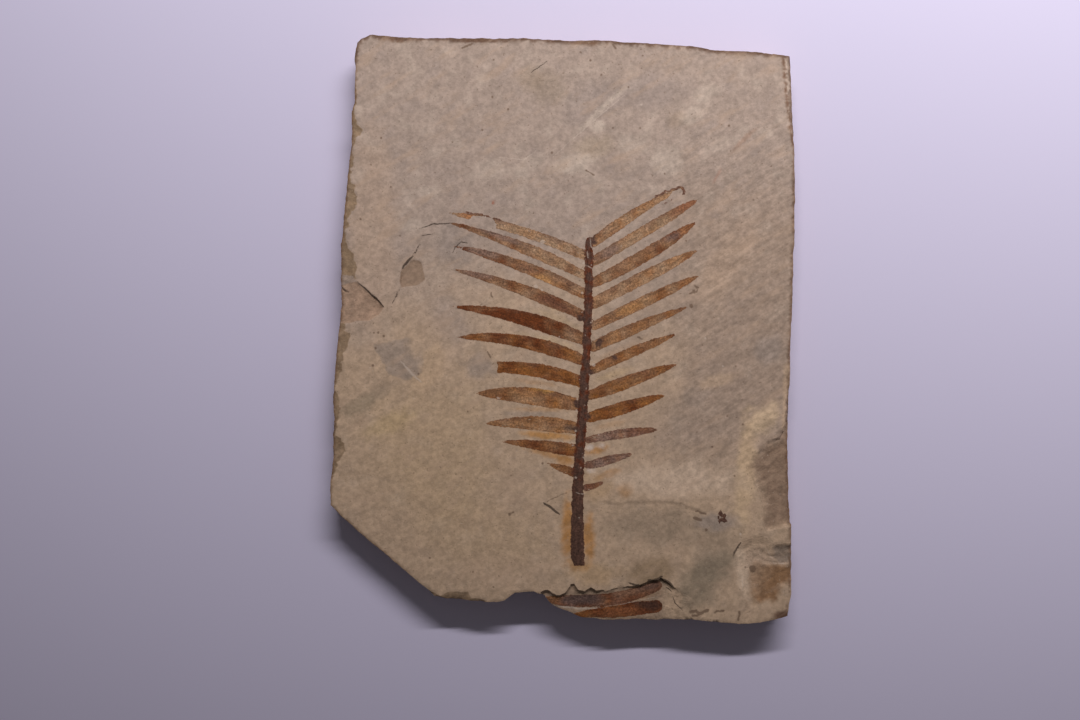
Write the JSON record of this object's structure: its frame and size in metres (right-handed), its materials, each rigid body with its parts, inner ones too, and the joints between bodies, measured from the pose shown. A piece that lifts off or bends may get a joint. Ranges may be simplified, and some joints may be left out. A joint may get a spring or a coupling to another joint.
{
  "type": "fossil leaf plate",
  "caption": "Broken slab of beige mudstone with layered edges, chips and a fossil frond: a low stalk ridge with narrow curved leaflets as a brown film. It lies flat, leaf side up.",
  "frame": {"origin": "middle of the bounding box in plan, on the flat underside that the plate rests on", "axes": "+X across the plate to the right as the leaf is seen, +Y along the plate from the stalk's cut end towards the leaf's tip, +Z out of the face that shows the leaf"},
  "size_m": [0.215, 0.2722, 0.022],
  "materials": {
    "stone": "matt fine-grained beige mudstone, brown on weathered edges, with a darker brown leaf film"
  },
  "bodies": {
    "root": {"fossil_plate": "stone"}
  },
  "joints": []
}
